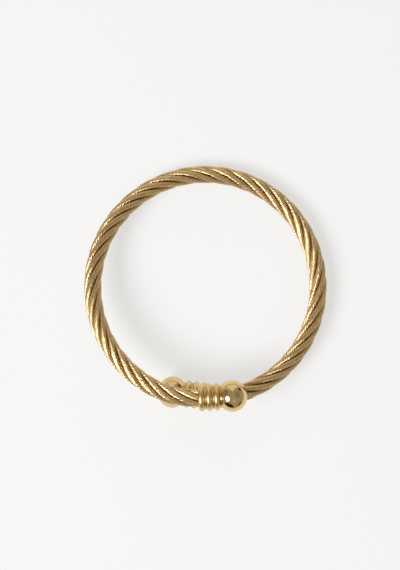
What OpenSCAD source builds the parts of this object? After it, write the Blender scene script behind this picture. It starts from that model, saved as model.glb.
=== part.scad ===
// Twisted wire bangle: an open ring of wire rope. Its two ends pass each other, one above the
// other, and each end sits in a turned cap with three round ribs, a neck and a ball.
//
// The ring lies as it rests, on Z = 0: the lower ball and the far side of the rope touch, and
// the rope climbs from the lower end to the upper one. Z is up, the middle of the crossing is
// at -Y, and angles along the ring start there and run anticlockwise as seen from above.

/* [Ring] */
// Clear width across the inside of the ring
wrist_d = 60; // [52:0.5:72]
// How far the mouth of one cap lies past the mouth of the other, along the ring
mouth_lap = 2.15; // [0:0.05:6]
// Stretch of rope before each cap that bends inwards
bend_len = 12.5; // [8:0.5:30]
// How far each end is bent inwards of the round ring
bend_in = 0.75; // [0:0.05:1.5]
// Upright gap between the two caps where they pass
pass_gap = 0.3; // [0.2:0.05:2]
// Place along the ring, in degrees, where the rope rests on the table
touch_at = 151; // [135:1:170]

/* [Rope] */
// Outer width of the rope over its strands
rope_d = 5; // [4:0.1:6]
// How far the strands' crests are pressed flat, as by a drawing die
crest_press = 0.1; // [0:0.01:0.2]
// Angle between a strand and the line of the rope
lay_angle = 18.2; // [14:0.1:22]
// Gap between neighbouring strands
strand_gap = 0.06; // [0.05:0.01:0.2]
// Gap between the strands and the core wire
core_gap = 0.08; // [0.06:0.01:0.2]
// Turn of the strands about the rope at the lower mouth
lay_start = 54; // [0:1:60]

/* [End caps] */
// Play between the rope and the wall of its socket, on each side
socket_play = 0.1; // [0.05:0.01:0.3]
// Depth of the socket
socket_depth = 5; // [3:0.1:5.4]
// Gap between the end of the rope and the bottom of its socket
socket_end_gap = 0.2; // [0.1:0.05:0.5]
// Wall of the collar at the bottom of its grooves
collar_wall = 0.75; // [0.3:0.05:1]
// Height of a rib over the grooves
rib_h = 0.6; // [0.4:0.05:0.85]
// Width of a rib
rib_w = 1.7; // [1.7:0.05:2]
// Distance from one rib to the next
rib_pitch = 2.22; // [2.05:0.01:2.6]
// Width of the neck between collar and ball
neck_d = 6.2; // [4.5:0.1:6.4]
// Length of the neck
neck_len = 0.4; // [0.3:0.05:1.5]
// Width of the small bead round the neck
neck_bead = 0.3; // [0.2:0.05:0.5]
// Width of the ball across the cap
ball_d = 9.1; // [8.4:0.1:11]
// Length of the ball along the cap
ball_len = 8.4; // [7:0.1:9]

/* [Hidden] */

gold_wire = "#b99a5f";
gold_core = "#8f7a50";
gold_polish = "#d2b06c";

strands = 6;
ribs = 3;
strand_sides = 10;
core_sides = 8;
// Longest step between two rings of points along a strand and along the core
strand_step = 1.95;
core_step = 2.6;
// Small step, in mm along the ring, over which directions are measured
probe = 0.01;
$fn = 96;

// The rope's sizes. Strands on a circle touch where half their spacing, seen square to a
// strand, equals their radius.
rope_r = rope_d / 2;
ring_r = wrist_d / 2 + rope_r;
unpressed_r = rope_r + crest_press;
strand_fit = sin(180 / strands) * cos(lay_angle);
strand_r = (strand_fit * unpressed_r - strand_gap / 2) / (1 + strand_fit);
lay_r = unpressed_r - strand_r;
core_r = lay_r - strand_r - core_gap;
lay_len = 2 * PI * lay_r / tan(lay_angle);

// The caps' sizes, along their own axis from the mouth to the tip of the ball.
socket_r = rope_r + socket_play;
groove_r = socket_r + collar_wall;
rib_r = groove_r + rib_h;
collar_len = (ribs - 1) * rib_pitch + rib_w;
last_rib = collar_len - rib_w / 2;
neck_r = neck_d / 2;
ball_r = ball_d / 2;
ball_shift = (ball_d - ball_len) / 2;
ball_seat = sqrt(pow(ball_len / 2, 2) - pow(neck_r - ball_shift, 2));
ball_at = collar_len + neck_len + ball_seat;

// The rope's visible run, measured along the round ring from the lower mouth to the upper.
turn_len = 2 * PI * ring_r;
run_len = turn_len - mouth_lap;
tail_len = socket_depth - socket_end_gap;
// One whole turn lifts the rope clear of the cap, and of the ball, that it passes over.
rise = max(2 * rib_r, ball_r + rope_r) + pass_gap;

function unit(v) = v / norm(v);
function ring_angle(u) = (u + mouth_lap / 2) / turn_len * 360;

// How far a place lies inside the bent stretch at either end, from 0 to 1.
function bend_share(u) = max(0, bend_len - u, u - (run_len - bend_len)) / bend_len;
function bent_r(u) = ring_r - bend_in * pow(bend_share(u), 2);

// Centre of the rope between the mouths, on a ring that climbs evenly along its own axis.
function coil_point(u) =
    let (a = ring_angle(u), r = bent_r(u))
    [r * sin(a), -r * cos(a), rise * a / 360];

// The same line with its ends carried on straight, as they run inside the caps.
function coil_line(u) =
    u < 0 ? coil_point(0) + u * unit(coil_point(probe) - coil_point(0))
    : u > run_len
        ? coil_point(run_len)
            + (u - run_len) * unit(coil_point(run_len) - coil_point(run_len - probe))
    : coil_point(u);

// How the coil leans when it is laid down: the lower ball touches the table, and so does the
// rope at touch_at, where it runs level. Two equations give the slopes along X and Y.
touch_u = touch_at / 360 * turn_len - mouth_lap / 2;
touch_p = coil_line(touch_u);
touch_t = (coil_line(touch_u + probe) - coil_line(touch_u - probe)) / (2 * probe);
ball_p = coil_line(-ball_at);
span_p = touch_p - ball_p;
drop = rope_r - ball_r - span_p.z;
lean_det = touch_t.x * span_p.y - touch_t.y * span_p.x;
lean_x = (-touch_t.z * span_p.y - touch_t.y * drop) / lean_det;
lean_y = (touch_t.x * drop + touch_t.z * span_p.x) / lean_det;
lift = rope_r - touch_p.z - lean_x * touch_p.x - lean_y * touch_p.y;

function lean(p) = [p.x, p.y, p.z + lean_x * p.x + lean_y * p.y + lift];
function rope_line(u) = lean(coil_line(u));
function rope_dir(u) = unit(rope_line(u + probe) - rope_line(u - probe));
function rope_out(u) = unit(cross(rope_dir(u), [0, 0, 1]));

// Direction from the rope's centre to strand i: the strands turn right-handed about the rope.
function strand_turn(i, u) = lay_start + 360 * (u / lay_len + i / strands);
function strand_side(i, u) =
    let (t = rope_dir(u), n = rope_out(u), a = strand_turn(i, u))
    cos(a) * n + sin(a) * cross(t, n);

// A ring of points round p in the plane of w and v, stretched along v, with a side towards w.
function hoop(p, w, v, r, stretch, sides) =
    [for (j = [0 : sides - 1])
        let (a = 360 * (j + 0.5) / sides) p + r * (cos(a) * w + stretch * sin(a) * v)];

// Brings a point that stands out past the rope's finished size back to it.
function press(p, c) = c + (p - c) * min(1, rope_r / norm(p - c));

// Sections are square to the rope, which cuts a slanting strand as an ellipse and ends it square.
function strand_hoop(i, u) =
    let (c = rope_line(u), w = strand_side(i, u), v = cross(rope_dir(u), w))
    [for (p = hoop(c + lay_r * w, w, v, strand_r, 1 / cos(lay_angle), strand_sides)) press(p, c)];
function core_hoop(u) =
    let (n = rope_out(u))
    hoop(rope_line(u), n, cross(rope_dir(u), n), core_r, 1, core_sides);

// Evenly spaced places along the whole rope, from one socket to the other.
function places(step) =
    let (whole = run_len + 2 * tail_len, n = ceil(whole / step))
    [for (k = [0 : n]) -tail_len + whole * k / n];

// Skin over hoops that follow each other, with a flat face at each end.
module skin(hoops) {
    n = len(hoops[0]);
    last = len(hoops) - 1;
    points = [for (h = hoops) each h];
    walls = [for (k = [0 : last - 1]) for (j = [0 : n - 1])
             let (a = k * n + j, b = k * n + (j + 1) % n)
             each [[a, a + n, b + n], [a, b + n, b]]];
    near = [for (j = [0 : n - 1]) j];
    far = [for (j = [n - 1 : -1 : 0]) last * n + j];
    polyhedron(points = points, faces = concat(walls, [near, far]));
}

// One strand of the rope, from inside the lower cap to inside the upper one.
module strand(i) {
    color(gold_wire) skin([for (u = places(strand_step)) strand_hoop(i, u)]);
}

// The wire in the middle of the rope, which the strands are laid round.
module core_wire() {
    color(gold_core) skin([for (u = places(core_step)) core_hoop(u)]);
}

// Half section of the ball: round at its side and just flat at its poles.
module ball_section() {
    intersection() {
        translate([ball_shift, 0]) circle(d = ball_len);
        translate([0, -ball_len / 2]) square([ball_d, ball_len]);
    }
    translate([0, -ball_len / 2]) square([ball_shift, ball_len]);
}

// Half section of a cap: collar, ribs, neck, bead and ball, less the socket for the rope.
module cap_section() {
    difference() {
        union() {
            square([groove_r, collar_len]);
            for (i = [0 : ribs - 1])
                translate([rib_r - rib_w / 2, rib_w / 2 + i * rib_pitch])
                    circle(d = rib_w);
            translate([0, last_rib]) square([neck_r, ball_at - last_rib]);
            translate([neck_r, collar_len + neck_len / 2]) circle(d = neck_bead);
            translate([0, ball_at]) ball_section();
        }
        translate([-socket_r, -socket_depth]) square([2 * socket_r, 2 * socket_depth]);
    }
}

// A cap with its mouth at p and its ball towards direction t.
module end_cap(p, t) {
    color(gold_polish)
        translate(p)
            rotate([0, acos(t.z), atan2(t.y, t.x)])
                rotate_extrude()
                    cap_section();
}

module lower_end_cap() { end_cap(rope_line(0), -rope_dir(-probe)); }
module upper_end_cap() { end_cap(rope_line(run_len), rope_dir(run_len + probe)); }

strand(1);  // strand_1
strand(2);  // strand_2
strand(3);  // strand_3
strand(4);  // strand_4
strand(5);  // strand_5
strand(6);  // strand_6
core_wire();
lower_end_cap();
upper_end_cap();
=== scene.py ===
"""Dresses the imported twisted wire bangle: its strands of wire, its turned end caps, their finishes,
the floor and the light.

Lengths are in millimetres, as in the part's source, and become metres when a mesh is made.
Angles are in degrees until they are used.
"""
import logging
from dataclasses import dataclass, field
from enum import Enum
from functools import cached_property

import bpy
import numpy as np
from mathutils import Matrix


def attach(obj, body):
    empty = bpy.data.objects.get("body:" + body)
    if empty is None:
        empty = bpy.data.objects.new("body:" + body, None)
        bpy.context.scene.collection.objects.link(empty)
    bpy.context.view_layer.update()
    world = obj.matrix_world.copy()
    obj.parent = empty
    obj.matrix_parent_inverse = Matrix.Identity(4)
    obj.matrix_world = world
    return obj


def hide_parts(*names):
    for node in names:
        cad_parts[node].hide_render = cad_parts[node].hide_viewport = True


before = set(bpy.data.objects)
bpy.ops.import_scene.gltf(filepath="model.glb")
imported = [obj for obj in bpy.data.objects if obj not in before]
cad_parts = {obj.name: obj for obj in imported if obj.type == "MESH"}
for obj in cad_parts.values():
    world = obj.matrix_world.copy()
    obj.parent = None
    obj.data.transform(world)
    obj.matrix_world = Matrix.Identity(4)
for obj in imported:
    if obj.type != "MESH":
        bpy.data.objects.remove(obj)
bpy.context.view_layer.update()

log = logging.getLogger("bangle")
Array = np.ndarray

MM = 0.001
UP = np.array([0.0, 0.0, 1.0])
BODY = "root"


def unit(vectors: Array) -> Array:
    """Gives vectors a length of one.

    Args:
        vectors: any number of vectors, one a row.

    Returns:
        The vectors, each divided by its own length.
    """
    return vectors / np.linalg.norm(vectors, axis=-1, keepdims=True)


def linear(colour: str) -> tuple[float, float, float, float]:
    """Turns an sRGB hex value into the linear colour that a socket takes.

    Args:
        colour: such as "#d8b46a".

    Returns:
        Red, green, blue and an alpha of one.
    """
    srgb = np.array([int(colour[i:i + 2], 16) for i in (1, 3, 5)]) / 255
    rgb = np.where(srgb <= 0.04045, srgb / 12.92, ((srgb + 0.055) / 1.055) ** 2.4)
    return (*rgb.tolist(), 1.0)


def tube_mesh(name: str, rings: Array, values: dict[str, Array], uv: Array) -> bpy.types.Object:
    """Makes a closed tube from a grid of points, with a fan of triangles over each end.

    Faces point outwards where the points of a ring run anticlockwise, seen against the way in
    which the rings follow each other.

    Args:
        name: the new object's name.
        rings: points in mm, in an array of rings by points by three.
        values: a value for each point, under the name of its attribute.
        uv: the two coordinates of each point, with one point more in each ring for the seam.

    Returns:
        The new object, at the origin.
    """
    count, sides, _ = rings.shape
    ends = rings[[0, -1]].mean(axis=1)
    points = np.concatenate([rings.reshape(-1, 3), ends]) * MM
    row, col = np.meshgrid(np.arange(count - 1), np.arange(sides), indexing="ij")
    near, far = row * sides + col, row * sides + (col + 1) % sides
    walls = np.stack([near, far, far + sides, near + sides], axis=-1).reshape(-1, 4)
    around = np.arange(sides)
    after = (around + 1) % sides
    last = (count - 1) * sides
    first_fan = np.stack([after, around, np.full(sides, count * sides)], axis=-1)
    last_fan = np.stack([last + around, last + after, np.full(sides, count * sides + 1)], axis=-1)

    corners = np.concatenate([walls.ravel(), first_fan.ravel(), last_fan.ravel()])
    totals = np.concatenate([np.full(len(walls), 4), np.full(2 * sides, 3)])
    mesh = bpy.data.meshes.new(name)
    mesh.vertices.add(len(points))
    mesh.vertices.foreach_set("co", points.ravel().astype(np.float32))
    mesh.loops.add(len(corners))
    mesh.loops.foreach_set("vertex_index", corners.astype(np.int32))
    mesh.polygons.add(len(totals))
    mesh.polygons.foreach_set("loop_start", (np.cumsum(totals) - totals).astype(np.int32))
    mesh.update(calc_edges=True)
    mesh.shade_smooth()

    wall_uv = np.stack([uv[:-1, :-1], uv[:-1, 1:], uv[1:, 1:], uv[1:, :-1]], axis=2)
    first_uv = np.stack([uv[0, 1:], uv[0, :-1], uv[0, :-1]], axis=1)
    last_uv = np.stack([uv[-1, :-1], uv[-1, 1:], uv[-1, 1:]], axis=1)
    layer = mesh.uv_layers.new(name="UVMap")
    flat = np.concatenate([wall_uv.reshape(-1, 2), first_uv.reshape(-1, 2), last_uv.reshape(-1, 2)])
    layer.data.foreach_set("uv", flat.ravel().astype(np.float32))
    for key, grid in values.items():
        attribute = mesh.attributes.new(key, "FLOAT", "POINT")
        whole = np.concatenate([grid.ravel(), grid[[0, -1]].mean(axis=1)])
        attribute.data.foreach_set("value", whole.astype(np.float32))
    mesh.validate()
    piece = bpy.data.objects.new(name, mesh)
    bpy.context.scene.collection.objects.link(piece)
    return piece


class Finish(Enum):
    """The finishes of the bangle, by the record's material slots."""

    WIRE = "gilt_wire"
    CORE = "core_wire"
    CAP = "polished_gilt"


class Nodes:
    """The nodes of one new material or world."""

    def __init__(self, owner: bpy.types.ID) -> None:
        """Empties the owner's node tree.

        Args:
            owner: the material or world.
        """
        owner.use_nodes = True
        self.tree = owner.node_tree
        self.tree.nodes.clear()

    def add(self, kind: str, settings: dict | None = None, **links: object) -> bpy.types.Node:
        """Adds a node with its settings and links.

        Args:
            kind: the node's type, without the prefix ShaderNode.
            settings: the node's own properties.
            **links: for each input, by its name with underscores for spaces or by its number
                after "i", the socket that it is linked to or its value.

        Returns:
            The new node.
        """
        node = self.tree.nodes.new("ShaderNode" + kind)
        for key, value in (settings or {}).items():
            setattr(node, key, value)
        for key, value in links.items():
            place = int(key[1:]) if key[1:].isdigit() else key.replace("_", " ")
            socket = node.inputs[place]
            if isinstance(value, bpy.types.NodeSocket):
                self.tree.links.new(value, socket)
            else:
                socket.default_value = value
        return node

    def ramp(self, factor: bpy.types.NodeSocket, stops: dict[float, tuple]) -> bpy.types.NodeSocket:
        """Adds a colour ramp.

        Args:
            factor: what the ramp reads.
            stops: a linear colour for each place from 0 to 1.

        Returns:
            The ramp's colour socket.
        """
        node = self.add("ValToRGB", Fac=factor)
        elements = node.color_ramp.elements
        while len(elements) < len(stops):
            elements.new(0.5)
        for element, (place, colour) in zip(elements, sorted(stops.items())):
            element.position = place
            element.color = colour
        return node.outputs["Color"]


@dataclass(frozen=True)
class CapSizes:
    """The sizes of an end cap along its own axis, with the same formulas as the source."""

    socket_r: float = 2.6
    socket_depth: float = 5.0
    groove_r: float = 3.35
    ribs: int = 3
    rib_h: float = 0.6
    rib_w: float = 1.7
    rib_pitch: float = 2.22
    neck_r: float = 3.1
    neck_len: float = 0.4
    neck_bead: float = 0.3
    ball_r: float = 4.55
    ball_len: float = 8.4

    @cached_property
    def rib_r(self) -> float:
        """Radius over the ribs."""
        return self.groove_r + self.rib_h

    @cached_property
    def collar_len(self) -> float:
        """Length of the ribbed collar."""
        return (self.ribs - 1) * self.rib_pitch + self.rib_w

    @cached_property
    def last_rib(self) -> float:
        """Distance from the mouth to the middle of the last rib."""
        return self.collar_len - self.rib_w / 2

    @cached_property
    def neck_end(self) -> float:
        """Distance from the mouth to where the neck meets the ball."""
        return self.collar_len + self.neck_len

    @cached_property
    def ball_shift(self) -> float:
        """How far the middle of the ball's arc lies from the axis."""
        return self.ball_r - self.ball_len / 2

    @cached_property
    def ball_at(self) -> float:
        """Distance from the mouth to the ball's middle: its arc meets the end of the neck."""
        return self.neck_end + np.sqrt((self.ball_len / 2) ** 2 - (self.neck_r - self.ball_shift) ** 2)


@dataclass(frozen=True)
class RopeLine:
    """The line along the middle of the rope, with the same sizes and formulas as the source."""

    wrist_d: float = 60.0
    mouth_lap: float = 2.15
    bend_len: float = 12.5
    bend_in: float = 0.75
    pass_gap: float = 0.3
    touch_at: float = 151.0
    rope_r: float = 2.5
    probe: float = 0.01
    cap: CapSizes = field(default_factory=CapSizes)

    @cached_property
    def ring_r(self) -> float:
        """Radius of the ring at the middle of the rope."""
        return self.wrist_d / 2 + self.rope_r

    @cached_property
    def turn_len(self) -> float:
        """Length of one whole turn."""
        return 2 * np.pi * self.ring_r

    @cached_property
    def run_len(self) -> float:
        """Length of rope between the mouths of the caps."""
        return self.turn_len - self.mouth_lap

    @cached_property
    def rise(self) -> float:
        """How far one whole turn climbs along the ring's own axis."""
        return max(2 * self.cap.rib_r, self.cap.ball_r + self.rope_r) + self.pass_gap

    def ring_point(self, u: Array) -> Array:
        """Places the rope's middle between the mouths, on a ring that climbs evenly.

        The ring's radius shrinks with the square of the share of the bent stretch that is passed.

        Args:
            u: lengths along the round ring from the lower mouth.

        Returns:
            A point a row, before the ring is laid down.
        """
        turn = (u + self.mouth_lap / 2) / self.turn_len
        past = np.maximum(self.bend_len - u, u - (self.run_len - self.bend_len))
        radius = self.ring_r - self.bend_in * (np.maximum(past, 0) / self.bend_len) ** 2
        angle = 2 * np.pi * turn
        return np.stack([radius * np.sin(angle), -radius * np.cos(angle), self.rise * turn], axis=-1)

    def coil_point(self, u: Array) -> Array:
        """Carries the same line on straight past each mouth.

        Args:
            u: lengths along the ring from the lower mouth.

        Returns:
            A point a row, before the ring is laid down.
        """
        edges = self.ring_point(np.array([0, self.probe, self.run_len - self.probe, self.run_len]))
        before = np.minimum(u, 0)[..., None] * unit(edges[1] - edges[0])
        after = np.maximum(u - self.run_len, 0)[..., None] * unit(edges[3] - edges[2])
        return self.ring_point(np.clip(u, 0, self.run_len)) + before + after

    @cached_property
    def lean(self) -> Array:
        """Slopes along X and Y and the lift of the coil when it is laid down.

        The lower ball touches the table, and so does the rope at touch_at, where it runs level.
        """
        touch_u = self.touch_at / 360 * self.turn_len - self.mouth_lap / 2
        places = np.array([touch_u - self.probe, touch_u, touch_u + self.probe, -self.cap.ball_at])
        back, touch, ahead, ball = self.coil_point(places)
        way = (ahead - back) / (2 * self.probe)
        span = touch - ball
        drop = self.rope_r - self.cap.ball_r - span[2]
        slopes = np.linalg.solve([way[:2], span[:2]], [-way[2], drop])
        return np.array([*slopes, self.rope_r - touch[2] - slopes @ touch[:2]])

    def point(self, u: Array) -> Array:
        """Places the rope's middle on the bangle as it lies.

        Args:
            u: lengths along the ring from the lower mouth.

        Returns:
            A point a row, in mm.
        """
        p = self.coil_point(u)
        height = p[..., 2] + p[..., :2] @ self.lean[:2] + self.lean[2]
        return np.concatenate([p[..., :2], height[..., None]], axis=-1)

    def direction(self, u: Array) -> Array:
        """Gives the way that the rope runs, by the difference across a small step.

        Args:
            u: lengths along the ring from the lower mouth.

        Returns:
            A unit vector a row.
        """
        return unit(self.point(u + self.probe) - self.point(u - self.probe))


@dataclass(frozen=True)
class Lay:
    """How the rope's strands are laid round its middle, with the source's sizes and formulas."""

    strands: int = 6
    lay_angle: float = 18.2
    lay_start: float = 54.0
    strand_gap: float = 0.06
    crest_press: float = 0.1
    line: RopeLine = field(default_factory=RopeLine)

    @cached_property
    def strand_r(self) -> float:
        """Radius of a strand: half the spacing of neighbours, seen square to them, less the gap."""
        fit = np.sin(np.pi / self.strands) * np.cos(np.radians(self.lay_angle))
        return (fit * (self.line.rope_r + self.crest_press) - self.strand_gap / 2) / (1 + fit)

    @cached_property
    def lay_r(self) -> float:
        """Radius of the circle that the strands' middles lie on."""
        return self.line.rope_r + self.crest_press - self.strand_r

    @cached_property
    def lay_len(self) -> float:
        """Length of rope in which a strand goes once round."""
        return 2 * np.pi * self.lay_r / np.tan(np.radians(self.lay_angle))


@dataclass
class Strand:
    """One strand: outer wires laid left-handed round the wires that they hide.

    A strand of this make has twelve outer wires. They are too fine to show at the size of the
    picture, so nine coarser ones stand for them.

    The surface is a tube whose columns run along the outer wires. A die has drawn the strand
    down, so each wire's outer face follows the strand's own round and falls off at its edges: at
    a share x of the way from a wire's middle to the seam, it lies seam_depth x^2 deeper.
    The round form that the wires fill is brought back softly to the rope's finished size, as a
    second die does that presses the rope's crests. A strand ends tail_len inside each socket.
    """

    number: int
    lay: Lay
    outer_wires: int = 9
    points_on_wire: int = 8
    seam_depth: float = 0.09
    wire_lay: float = 8.0
    ring_step: float = 0.36
    tail_len: float = 4.6
    press_blend: float = 0.05

    def surface(self) -> tuple[Array, dict[str, Array], Array]:
        """Works out the strand's surface.

        Returns:
            The rings of points, the attributes of each point and the UV coordinates.
        """
        lay, line = self.lay, self.lay.line
        start, end = -self.tail_len, line.run_len + self.tail_len
        u = np.linspace(start, end, int((end - start) / self.ring_step) + 1)
        middle, along = line.point(u), line.direction(u)
        outward = unit(np.cross(along, UP))
        turn = np.radians(lay.lay_start + 360 * (u / lay.lay_len + self.number / lay.strands))[:, None]
        side = np.cos(turn) * outward + np.sin(turn) * np.cross(along, outward)
        slant = np.radians(lay.lay_angle)
        strand_way = np.cos(slant) * along + np.sin(slant) * np.cross(along, side)
        across = np.cross(strand_way, side)

        share = np.tile(np.linspace(-1, 1, self.points_on_wire, endpoint=False), self.outer_wires)
        seam = share ** 2
        length = (u - start) / np.cos(slant)
        round_at = np.linspace(0, 360, len(share), endpoint=False)
        angle = np.radians(round_at[None, :] - 360 * length[:, None] / self.wire_lay)[..., None]

        spoke = np.cos(angle) * side[:, None] + np.sin(angle) * across[:, None]
        off = lay.lay_r * side[:, None] + lay.strand_r * spoke
        forward = (off * along[:, None]).sum(axis=-1, keepdims=True) * along[:, None]
        sideways = off - forward
        far = np.linalg.norm(sideways, axis=-1, keepdims=True)
        pressed = forward + sideways * self.press(far) / far
        rings = middle[:, None] + pressed - self.seam_depth * seam[:, None] * spoke

        # crevice: how deep between the strands a point lies; the wire's colour is darkened by it as
        # painted shade
        crevice = np.clip((line.rope_r - far[..., 0]) / (2 * lay.strand_r), 0, 1)
        wide = np.append(round_at, round_at[0] + 360)
        uv = np.stack(np.broadcast_arrays(length[:, None], np.radians(wide)[None] * lay.strand_r), -1)
        # wire_seam: how near a point lies to a seam between wires; it drives the painted shade there
        return rings, {"crevice": crevice, "wire_seam": np.broadcast_to(seam, crevice.shape)}, uv

    def press(self, far: Array) -> Array:
        """Limits distances from the rope's middle to its finished radius, with a soft knee.

        The soft minimum of a and b is (a + b - sqrt((a - b)^2 + k^2)) / 2.

        Args:
            far: distances of points from the rope's middle.

        Returns:
            The distances after pressing.
        """
        limit = self.lay.line.rope_r
        return (far + limit - np.sqrt((far - limit) ** 2 + self.press_blend ** 2)) / 2

    def build(self) -> bpy.types.Object:
        """Makes the strand and puts it in place of its node.

        Returns:
            The new piece.
        """
        rings, values, uv = self.surface()
        piece = tube_mesh(f"strand_{self.number}_wires", rings, values, uv)
        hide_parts(f"strand_{self.number}")
        return piece


@dataclass
class EndCap:
    """A turned cap: a collar with three round ribs, a neck with a small bead, and a ball.

    The surface is one profile turned round the cap's own axis. The profile starts at the bottom
    of the socket, comes out at the mouth, and runs over the ribs and the neck to the ball's tip.
    A round of radius lip breaks the mouth's inner edge, and its middle lies lip_cut from both faces.
    The collar's duller finish fades out over dull_fade before the neck.
    """

    node: str
    mouth: Array
    way: Array
    cap: CapSizes
    fillet: float = 0.05
    lip: float = 0.06
    lip_cut: float = 0.018
    outer_edge: float = 0.02
    floor_edge: float = 0.05
    dull_fade: float = 0.3
    sides: int = 144
    trace_points: int = 6000
    collar_points: int = 130
    bore_points: int = 12
    ball_points: int = 60

    def collar(self) -> Array:
        """Works out the profile from the mouth to the ball, in even steps of its own length.

        Each rib is a half round, and a soft maximum, k log(sum(exp(r / k))), joins ribs, grooves,
        neck and bead with small fillets.

        Returns:
            Distance along the axis and radius, a row for each point.
        """
        cap = self.cap
        s = np.linspace(0, cap.neck_end, self.trace_points)
        plain = np.where(s > cap.last_rib, cap.neck_r, cap.groove_r)
        rounds = [(cap.rib_r, cap.rib_w, cap.rib_w / 2 + i * cap.rib_pitch) for i in range(cap.ribs)]
        bead_r = cap.neck_r + cap.neck_bead / 2
        rounds.append((bead_r, cap.neck_bead, cap.collar_len + cap.neck_len / 2))
        tops = [top - width / 2 + np.sqrt(np.maximum((width / 2) ** 2 - (s - at) ** 2, 0))
                for top, width, at in rounds]
        stack = np.stack([plain, *tops]) / self.fillet
        highest = stack.max(axis=0)
        radius = self.fillet * (np.log(np.exp(stack - highest).sum(axis=0)) + highest)
        passed = np.append(0, np.cumsum(np.hypot(np.diff(s), np.diff(radius))))
        even = np.linspace(0, passed[-1], self.collar_points)
        return np.stack([np.interp(even, passed, s), np.interp(even, passed, radius)], axis=-1)

    def ball(self) -> Array:
        """Works out the ball's profile, an arc from the end of the neck to the tip.

        Returns:
            Distance along the axis and radius, a row for each point.
        """
        cap = self.cap
        start = np.arctan2(cap.neck_r - cap.ball_shift, cap.neck_end - cap.ball_at)
        polar = np.linspace(start, 0, self.ball_points + 1)[1:]
        return np.stack([cap.ball_at + cap.ball_len / 2 * np.cos(polar),
                         cap.ball_shift + cap.ball_len / 2 * np.sin(polar)], axis=-1)

    def socket(self) -> Array:
        """Works out the profile from the bottom of the socket to the rounded lip of the mouth.

        Returns:
            Distance along the axis and radius, a row for each point.
        """
        depth, wall = self.cap.socket_depth, self.cap.socket_r
        floor = [[depth, self.floor_edge], [depth, wall - self.floor_edge]]
        along = np.linspace(depth, 0, self.bore_points)[:-1]
        bore = np.stack([along, np.full_like(along, wall)], axis=-1)
        lip = [[self.lip, wall], [self.lip_cut, wall + self.lip_cut], [0, wall + self.lip]]
        return np.concatenate([floor, bore, lip])

    def profile(self) -> Array:
        """Joins the socket, the mouth, the collar and the ball into one line.

        Returns:
            Distance along the axis and radius, a row for each point.
        """
        collar = self.collar()
        mouth_edge = collar[:1] - [0, self.outer_edge]
        return np.concatenate([self.socket(), mouth_edge, collar[1:], self.ball()])

    def surface(self) -> tuple[Array, dict[str, Array], Array]:
        """Turns the profile round the cap's axis.

        Returns:
            The rings of points, the attributes of each point and the UV coordinates.
        """
        cap, profile = self.cap, self.profile()
        at, radius = profile.T
        side = unit(np.cross(UP, self.way))
        top = np.cross(self.way, side)
        angle = np.linspace(0, 2 * np.pi, self.sides + 1)
        spoke = np.cos(angle)[:, None] * side + np.sin(angle)[:, None] * top
        rings = self.mouth + at[:, None, None] * self.way + radius[:, None, None] * spoke[None, :-1]
        # groove: how deep in the collar's grooves a point lies; the cap's colour is darkened by it as
        # painted shade
        groove = np.clip((cap.rib_r - radius) / cap.rib_h, 0, 1)
        on_collar = (at < cap.neck_end) & (radius > cap.socket_r)
        crevice = np.repeat((groove * on_collar)[:, None], self.sides, axis=1)
        dull = np.clip((cap.collar_len - at) / self.dull_fade, 0, 1)
        ribbed = np.repeat(dull[:, None], self.sides, axis=1)
        passed = np.append(0, np.cumsum(np.linalg.norm(np.diff(profile, axis=0), axis=1)))
        uv = np.stack(np.broadcast_arrays(passed[:, None], angle[None] * cap.ball_r), axis=-1)
        return rings, {"crevice": crevice, "ribbed": ribbed}, uv

    def build(self) -> bpy.types.Object:
        """Makes the cap and puts it in place of its node.

        Returns:
            The new piece.
        """
        rings, values, uv = self.surface()
        piece = tube_mesh(f"{self.node}_turned", rings, values, uv)
        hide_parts(self.node)
        return piece


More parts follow.
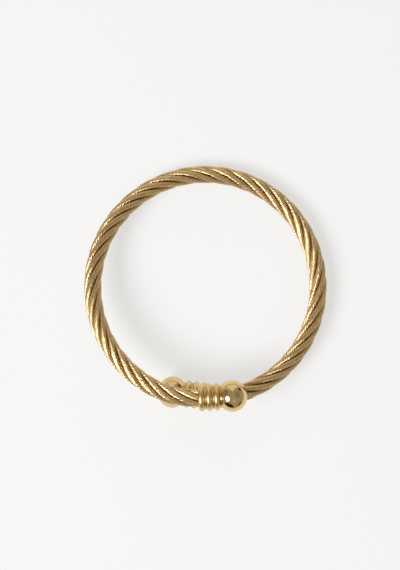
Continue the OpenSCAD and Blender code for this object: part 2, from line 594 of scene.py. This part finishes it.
@dataclass(frozen=True)
class GiltWire:
    """Gold-plated drawn steel wire, stranded into rope.

    Drawing leaves lines along each wire, which break up its highlights and its tone. Real ones
    are too fine to show at the size of the picture, so they are as coarse as they need to be.
    The colour is painted darker and browner deep in the furrows between the strands, and darker
    at the seams between the wires: painted shade, for the shade and bounced light there.
    """

    crest: str = "#f0d09c"
    # furrow: painted shade, the darker and browner colour deep between the strands
    furrow: str = "#deb678"
    furrow_reach: tuple[float, float] = (0.12, 0.5)
    # seam: painted shade at the seams between the wires
    seam: str = "#b08c58"
    seam_reach: tuple[float, float] = (0.2, 0.9)
    roughness: float = 0.29
    rough_spread: tuple[float, float] = (-0.06, 0.08)
    line_width: float = 0.22
    line_length: float = 1.2
    line_depth: float = 0.05
    line_spread: tuple[float, float] = (0.3, 0.7)
    line_tones: tuple[float, float] = (0.7, 1.14)

    def material(self) -> bpy.types.Material:
        """Builds the material.

        Returns:
            The new material.
        """
        made = bpy.data.materials.new("gold_plated_drawn_wire")
        nodes = Nodes(made)
        crevice = nodes.add("Attribute", {"attribute_name": "crevice"}).outputs["Fac"]
        # painted shade: the colour turns from crest to furrow deeper between the strands
        crest_to, furrow_from = self.furrow_reach
        metal = nodes.ramp(crevice, {crest_to: linear(self.crest), furrow_from: linear(self.furrow)})
        # painted shade: the colour darkens towards each wire's seams
        seam = nodes.add("Attribute", {"attribute_name": "wire_seam"}).outputs["Fac"]
        unshaded_to, seam_from = self.seam_reach
        seam_shade = nodes.add("MapRange", Value=seam, From_Min=unshaded_to, From_Max=seam_from)
        colour = nodes.add("MixRGB", Fac=seam_shade.outputs["Result"], Color1=metal,
                           Color2=linear(self.seam)).outputs["Color"]
        where = nodes.add("UVMap", {"uv_map": "UVMap"}).outputs["UV"]
        scale = (1 / self.line_length, 1 / self.line_width, 1)
        lines = nodes.add("Mapping", Vector=where, Scale=scale).outputs["Vector"]
        drawn = nodes.add("TexNoise", Vector=lines, Scale=1.0, Detail=1.0).outputs["Fac"]
        least, most = self.line_spread
        dark, pale = self.line_tones
        tone = nodes.add("MapRange", Value=drawn, From_Min=least, From_Max=most,
                         To_Min=dark, To_Max=pale).outputs["Result"]
        lined = nodes.add("VectorMath", {"operation": "SCALE"}, i0=colour, Scale=tone)
        finer, coarser = self.rough_spread
        rough = nodes.add("MapRange", Value=drawn, To_Min=self.roughness + finer,
                          To_Max=self.roughness + coarser)
        bump = nodes.add("Bump", Height=drawn, Strength=1.0, Distance=self.line_depth * MM)
        shader = nodes.add("BsdfPrincipled", Base_Color=lined.outputs["Vector"], Metallic=1.0,
                           Roughness=rough.outputs["Result"], Normal=bump.outputs["Normal"])
        nodes.add("OutputMaterial", Surface=shader.outputs["BSDF"])
        return made


@dataclass(frozen=True)
class PolishedGilt:
    """Turned brass, buffed and gold plated.

    The ball mirrors its surroundings, with a faint haze that wear leaves. The buff reaches the
    ribbed collar less, so it is duller. The colour is painted darker in the grooves between the
    ribs, as painted shade that makes them look deeper.
    """

    bare_metal: str = "#e4c68b"
    # groove: painted shade, the darker colour deep between the ribs
    groove: str = "#cfa866"
    groove_reach: tuple[float, float] = (0.4, 1.0)
    roughness: float = 0.06
    collar_dullness: float = 0.24
    haze_size: float = 1.5
    haze_spread: tuple[float, float] = (-0.03, 0.05)

    def material(self) -> bpy.types.Material:
        """Builds the material.

        Returns:
            The new material.
        """
        made = bpy.data.materials.new("polished_gold_plated_brass")
        nodes = Nodes(made)
        crevice = nodes.add("Attribute", {"attribute_name": "crevice"}).outputs["Fac"]
        # painted shade: the colour darkens from the rib crests into the grooves
        unshaded_to, groove_from = self.groove_reach
        colour = nodes.ramp(crevice, {unshaded_to: linear(self.bare_metal), groove_from: linear(self.groove)})
        where = nodes.add("TexCoord").outputs["Object"]
        haze = nodes.add("TexNoise", Vector=where, Scale=1 / (self.haze_size * MM), Detail=4.0)
        clearer, hazier = self.haze_spread
        hazy = nodes.add("MapRange", Value=haze.outputs["Fac"],
                         To_Min=self.roughness + clearer, To_Max=self.roughness + hazier)
        ribbed = nodes.add("Attribute", {"attribute_name": "ribbed"}).outputs["Fac"]
        rough = nodes.add("Math", {"operation": "MULTIPLY_ADD"}, i0=ribbed, i1=self.collar_dullness,
                          i2=hazy.outputs["Result"])
        shader = nodes.add("BsdfPrincipled", Base_Color=colour, Metallic=1.0,
                           Roughness=rough.outputs["Value"])
        nodes.add("OutputMaterial", Surface=shader.outputs["BSDF"])
        return made


@dataclass(frozen=True)
class CoreWireFinish:
    """Plain gilt wire in the middle of the rope, where no polish or light reaches."""

    colour: str = "#8f6f3f"
    roughness: tuple[float, float] = (0.4, 0.6)
    mark_size: float = 0.4

    def material(self) -> bpy.types.Material:
        """Builds the material.

        Returns:
            The new material.
        """
        made = bpy.data.materials.new("dull_gold_plated_wire")
        nodes = Nodes(made)
        where = nodes.add("TexCoord").outputs["Object"]
        marks = nodes.add("TexNoise", Vector=where, Scale=1 / (self.mark_size * MM), Detail=2.0)
        least, most = self.roughness
        rough = nodes.add("MapRange", Value=marks.outputs["Fac"], To_Min=least, To_Max=most)
        shader = nodes.add("BsdfPrincipled", Base_Color=linear(self.colour), Metallic=1.0,
                           Roughness=rough.outputs["Result"])
        nodes.add("OutputMaterial", Surface=shader.outputs["BSDF"])
        return made


class Bangle:
    """The whole bangle: six strands, the core wire and the two end caps."""

    def __init__(self, lay: Lay) -> None:
        """Keeps the lay and makes the finishes.

        Args:
            lay: how the rope's strands are laid.
        """
        self.lay = lay
        self.finishes = {
            Finish.WIRE: GiltWire().material(),
            Finish.CORE: CoreWireFinish().material(),
            Finish.CAP: PolishedGilt().material(),
        }

    def dress(self, piece: bpy.types.Object, finish: Finish) -> None:
        """Gives a new piece its finish and lets it ride on the body.

        Args:
            piece: the new piece.
            finish: the finish that it takes.
        """
        piece.data.materials.append(self.finishes[finish])
        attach(piece, BODY)
        log.info("%s: %d faces, %s", piece.name, len(piece.data.polygons), finish.value)

    def build(self) -> None:
        """Builds and dresses every piece."""
        for number in range(1, self.lay.strands + 1):
            self.dress(Strand(number, self.lay).build(), Finish.WIRE)
        line = self.lay.line
        ends = line.point(np.array([0.0, line.run_len]))
        ways = line.direction(np.array([-line.probe, line.run_len + line.probe]))
        self.dress(EndCap("lower_end_cap", ends[0], -ways[0], line.cap).build(), Finish.CAP)
        self.dress(EndCap("upper_end_cap", ends[1], ways[1], line.cap).build(), Finish.CAP)
        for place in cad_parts["core_wire"].material_slots:
            place.material = self.finishes[Finish.CORE]
        log.info("core_wire: keeps its own mesh, %s", Finish.CORE.value)


@dataclass(frozen=True)
class Softbox:
    """A round lamp that faces the bangle, with its distance and size in metres."""

    name: str
    azimuth: float
    elevation: float
    distance: float
    size: float
    power: float
    colour: str

    def build(self) -> None:
        """Makes the lamp. Azimuth runs anticlockwise from +X."""
        turn, rise = np.radians(self.azimuth), np.radians(self.elevation)
        away = np.array([np.cos(rise) * np.cos(turn), np.cos(rise) * np.sin(turn), np.sin(rise)])
        lamp = bpy.data.lights.new(self.name, "AREA")
        lamp.shape = "DISK"
        lamp.size = self.size
        lamp.energy = self.power
        lamp.color = linear(self.colour)[:3]
        holder = bpy.data.objects.new(self.name, lamp)
        holder.location = away * self.distance
        holder.rotation_euler = (np.pi / 2 - rise, 0, turn + np.pi / 2)
        bpy.context.scene.collection.objects.link(holder)


@dataclass(frozen=True)
class Card:
    """A card or a gap in the studio's surroundings, with its light from 0 up.

    Each edge is a direction with two numbers: the card is fully there where the cosine of the
    angle to that direction is above the second, and absent where it is below the first. A card
    with two edges is there only inside both.
    """

    name: str
    light: float
    edges: tuple[tuple[tuple[float, float, float], float, float], ...]


@dataclass
class Studio:
    """Pale floor, one soft lamp, dim surroundings and a camera straight above, as for a packshot.

    The size of the floor and the camera's clipping distances are in metres.
    """

    view_roll: float = 2.0
    view_shift: tuple[float, float] = (-1.72, 0.425)
    view_height: float = 550.0
    lens: float = 169.7
    sensor_width: float = 36.0
    clip: tuple[float, float] = (0.01, 20.0)
    room_light: float = 0.38
    room_colour: str = "#fffcf0"
    cards: tuple[Card, ...] = (
        Card("wall", 0.58, (((-0.337, 0.925, -0.174), 0.62, 0.77),)),
        Card("white_card", 0.86, (((0.750, 0.573, -0.328), 0.0, 0.05),
                                  ((-0.809, 0.497, -0.315), -0.05, 0.15))),
        Card("dark_front", 0.02, (((-0.34, -0.94, 0.03), 0.82, 0.92),)),
        Card("dark_right", 0.02, (((0.74, -0.67, -0.08), 0.93, 0.98),)),
        Card("dark_gap", 0.03, (((0.72, 0.67, 0.17), 0.978, 0.99),)),
        Card("dim_left", 0.24, (((-0.84, 0.34, 0.41), 0.86, 0.98),)),
        Card("pale_front", 0.52, (((0.19, -0.57, 0.80), 0.95, 0.99),)),
        Card("dim_right", 0.26, (((0.62, 0.20, 0.76), 0.90, 0.98),)),
    )
    floor_size: float = 6.0
    floor_glow: float = 0.6
    floor_colour: str = "#9c9b97"
    bright_reach: tuple[tuple[float, float], ...] = ((60.0, 110.0), (85.0, 135.0))
    far_share: float = 0.65
    lamp: Softbox = Softbox("softbox", 210, 45, 1.5, 0.8, 21.5, "#f0f5ff")

    def camera(self) -> None:
        """Puts the camera straight above, rolled a little as the photograph is."""
        lens = bpy.data.cameras.new("camera")
        lens.sensor_fit = "HORIZONTAL"
        lens.sensor_width = self.sensor_width
        lens.lens = self.lens
        lens.clip_start, lens.clip_end = self.clip
        holder = bpy.data.objects.new("camera", lens)
        roll = np.radians(self.view_roll)
        turn = np.array([[np.cos(roll), -np.sin(roll)], [np.sin(roll), np.cos(roll)]])
        holder.location = (*(turn @ self.view_shift * MM), self.view_height * MM)
        holder.rotation_euler = (0, 0, roll)
        bpy.context.scene.collection.objects.link(holder)
        bpy.context.scene.camera = holder

    def floor(self) -> None:
        """Lays a pale table that glows faintly, as one lit from below, and takes soft shadows.

        The lit panel is a rectangle. For X and for Y, bright_reach says how far from the middle it
        starts to fade and where the table is down to its far_share of light.
        """
        half = self.floor_size / 2
        mesh = bpy.data.meshes.new("floor")
        mesh.from_pydata([(-half, -half, 0), (half, -half, 0), (half, half, 0), (-half, half, 0)],
                         [], [(0, 1, 2, 3)])
        made = bpy.data.materials.new("pale_floor")
        nodes = Nodes(made)
        where = nodes.add("SeparateXYZ", Vector=nodes.add("TexCoord").outputs["Object"])
        pool = 1.0
        for axis, (near, far) in zip("XY", self.bright_reach):
            away = nodes.add("Math", {"operation": "ABSOLUTE"}, i0=where.outputs[axis]).outputs["Value"]
            lit = nodes.add("MapRange", {"interpolation_type": "SMOOTHSTEP"}, Value=away,
                            From_Min=near * MM, From_Max=far * MM, To_Min=1.0, To_Max=self.far_share)
            pool = nodes.add("Math", {"operation": "MINIMUM"}, i0=lit.outputs["Result"],
                             i1=pool).outputs["Value"]
        grey = linear(self.floor_colour)[:3]
        shade = nodes.add("VectorMath", {"operation": "SCALE"}, i0=grey, Scale=pool)
        matte = nodes.add("BsdfDiffuse", Color=shade.outputs["Vector"])
        strength = nodes.add("Math", {"operation": "MULTIPLY"}, i0=pool, i1=self.floor_glow)
        glow = nodes.add("Emission", Color=linear("#ffffff"), Strength=strength.outputs["Value"])
        both = nodes.add("AddShader", i0=matte.outputs["BSDF"], i1=glow.outputs["Emission"])
        nodes.add("OutputMaterial", Surface=both.outputs["Shader"])
        mesh.materials.append(made)
        table = bpy.data.objects.new("floor", mesh)
        bpy.context.scene.collection.objects.link(table)

    def surroundings(self) -> None:
        """Makes the dim room round the table, with its cards and gaps."""
        world = bpy.data.worlds.new("room")
        bpy.context.scene.world = world
        nodes = Nodes(world)
        way = nodes.add("TexCoord").outputs["Generated"]
        smooth = {"interpolation_type": "SMOOTHSTEP"}
        light = self.room_light
        for card in self.cards:
            there = 1.0
            for direction, absent, full in card.edges:
                cosine = nodes.add("VectorMath", {"operation": "DOT_PRODUCT"}, i0=way, i1=direction)
                inside = nodes.add("MapRange", smooth, Value=cosine.outputs["Value"], From_Min=absent,
                                   From_Max=full).outputs["Result"]
                both = nodes.add("Math", {"operation": "MULTIPLY"}, i0=inside, i1=there)
                there = both.outputs["Value"]
            light = nodes.add("MapRange", {"label": card.name}, Value=there, To_Min=light,
                              To_Max=card.light).outputs["Result"]
        sky = nodes.add("Background", Color=linear(self.room_colour), Strength=light)
        nodes.add("OutputWorld", Surface=sky.outputs["Background"])

    def build(self) -> None:
        """Builds the studio."""
        self.camera()
        self.floor()
        self.surroundings()
        self.lamp.build()
        bpy.context.scene.view_settings.view_transform = "Standard"
        log.info("studio: camera, floor, one lamp and a room with %d cards and gaps", len(self.cards))


def main() -> None:
    """Builds the studio and the bangle."""
    logging.basicConfig(level=logging.INFO, format="%(name)s: %(message)s")
    Studio().build()
    Bangle(Lay()).build()


if __name__ == "__main__":
    main()
